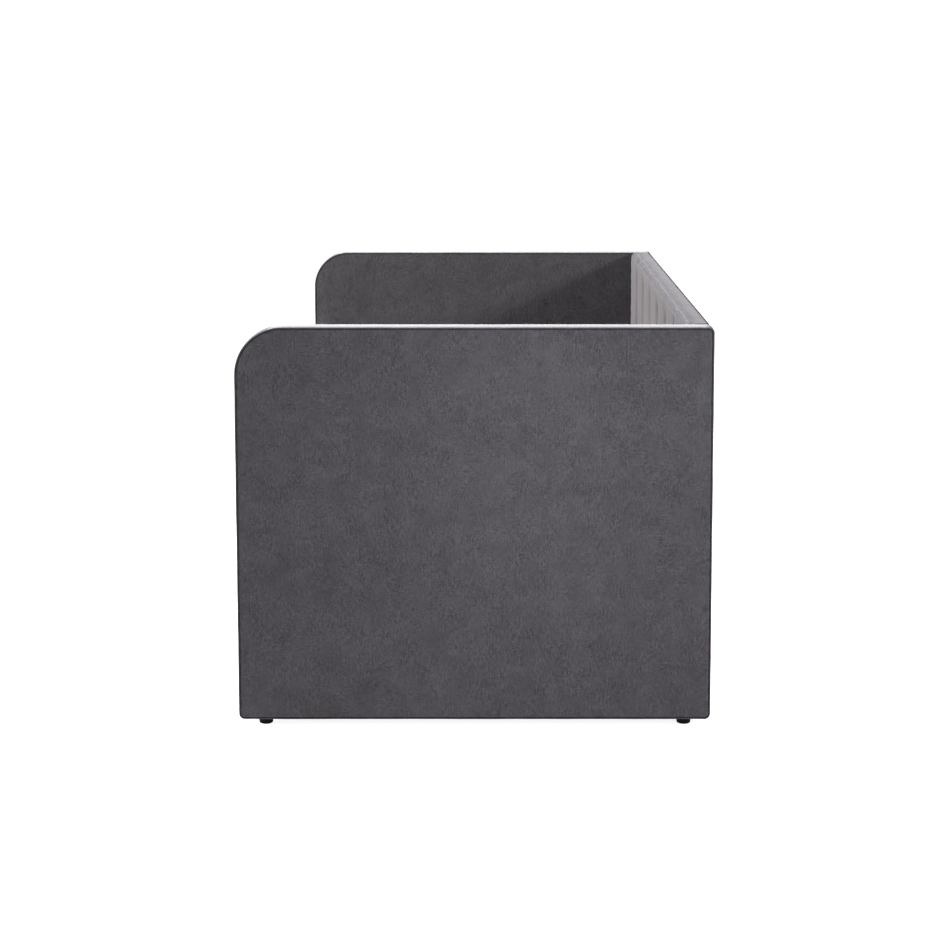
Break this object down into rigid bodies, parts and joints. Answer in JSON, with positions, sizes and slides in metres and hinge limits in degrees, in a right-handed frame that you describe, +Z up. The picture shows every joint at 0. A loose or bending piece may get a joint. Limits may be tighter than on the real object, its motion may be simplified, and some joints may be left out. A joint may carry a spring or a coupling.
{
  "type": "trundle bed",
  "caption": "Upholstered daybed with rounded arm panels, a channelled back and slats, and a slatted trundle on castors that rolls out from under it.",
  "frame": {"origin": "on the floor, under the middle of the bed", "axes": "+X along the bed to its right arm as seen from the front, -Y to the front where the trundle rolls out, +Z up"},
  "size_m": [2.09, 1.08, 0.92],
  "materials": {
    "upholstery": "soft brushed velvet, matte with a faint sheen",
    "pine": "planed and sanded, unvarnished",
    "hardboard": "smooth pressed board",
    "webbing": "woven polypropylene webbing",
    "foot_plastic": "moulded, satin",
    "castor_wheel": "moulded, satin",
    "zinc_steel": "zinc plated"
  },
  "bodies": {
    "daybed": {"arm_frame_left": "pine", "arm_frame_right": "pine", "arm_boards_left": "hardboard", "arm_boards_right": "hardboard", "arm_inner_pad_left": "upholstery", "arm_inner_pad_right": "upholstery", "arm_outer_pad_left": "upholstery", "arm_outer_pad_right": "upholstery", "arm_band_left": "upholstery", "arm_band_right": "upholstery", "back_frame": "pine", "back_boards": "hardboard", "back_channel_pad": "upholstery", "back_lower_pad": "upholstery", "back_rear_cover": "upholstery", "back_top_band": "upholstery", "front_rail": "pine", "front_rail_cover": "upholstery", "bed_ledger_front": "pine", "bed_ledger_rear": "pine", "bed_slats": "pine", "bed_slat_straps": "webbing", "bed_slat_screws": "zinc_steel", "bed_ledger_screws": "zinc_steel", "corner_bracket_front_left": "zinc_steel", "corner_bracket_front_right": "zinc_steel", "corner_bracket_rear_left": "zinc_steel", "corner_bracket_rear_right": "zinc_steel", "bracket_bolts": "zinc_steel", "bracket_screws": "zinc_steel", "foot_front_left": "foot_plastic", "foot_front_right": "foot_plastic", "foot_rear_left": "foot_plastic", "foot_rear_right": "foot_plastic", "foot_screws": "zinc_steel"},
    "trundle": {"trundle_front_board": "pine", "trundle_front_cover": "upholstery", "trundle_side_left": "pine", "trundle_side_right": "pine", "trundle_back_board": "pine", "trundle_corner_blocks": "pine", "trundle_ledger_front": "pine", "trundle_ledger_rear": "pine", "trundle_slats": "pine", "trundle_slat_straps": "webbing", "trundle_slat_screws": "zinc_steel", "trundle_ledger_screws": "zinc_steel", "trundle_block_screws": "zinc_steel", "castor_bracket_front_left": "zinc_steel", "castor_bracket_front_right": "zinc_steel", "castor_bracket_rear_left": "zinc_steel", "castor_bracket_rear_right": "zinc_steel", "castor_axles": "zinc_steel", "castor_screws": "zinc_steel"},
    "castor_front_left": {"castor_wheel_front_left": "castor_wheel"},
    "castor_front_right": {"castor_wheel_front_right": "castor_wheel"},
    "castor_rear_left": {"castor_wheel_rear_left": "castor_wheel"},
    "castor_rear_right": {"castor_wheel_rear_right": "castor_wheel"}
  },
  "joints": [
    {"name": "trundle_slide", "type": "slide", "parent": "daybed", "child": "trundle", "axis": [0, -1, 0], "range_m": [0, 1.04]},
    {"name": "castor_spin_front_left", "type": "hinge", "parent": "trundle", "child": "castor_front_left", "pos_m": [-0.917, -0.471, 0.025], "axis": [1, 0, 0], "continuous": true},
    {"name": "castor_spin_front_right", "type": "hinge", "parent": "trundle", "child": "castor_front_right", "pos_m": [0.917, -0.471, 0.025], "axis": [1, 0, 0], "continuous": true},
    {"name": "castor_spin_rear_left", "type": "hinge", "parent": "trundle", "child": "castor_rear_left", "pos_m": [-0.917, 0.423, 0.025], "axis": [1, 0, 0], "continuous": true},
    {"name": "castor_spin_rear_right", "type": "hinge", "parent": "trundle", "child": "castor_rear_right", "pos_m": [0.917, 0.423, 0.025], "axis": [1, 0, 0], "continuous": true}
  ],
  "couplings": [
    {"joint": "castor_spin_front_left", "follows": "trundle_slide", "rad_per_m": 40},
    {"joint": "castor_spin_front_right", "follows": "trundle_slide", "rad_per_m": 40},
    {"joint": "castor_spin_rear_left", "follows": "trundle_slide", "rad_per_m": 40},
    {"joint": "castor_spin_rear_right", "follows": "trundle_slide", "rad_per_m": 40}
  ]
}
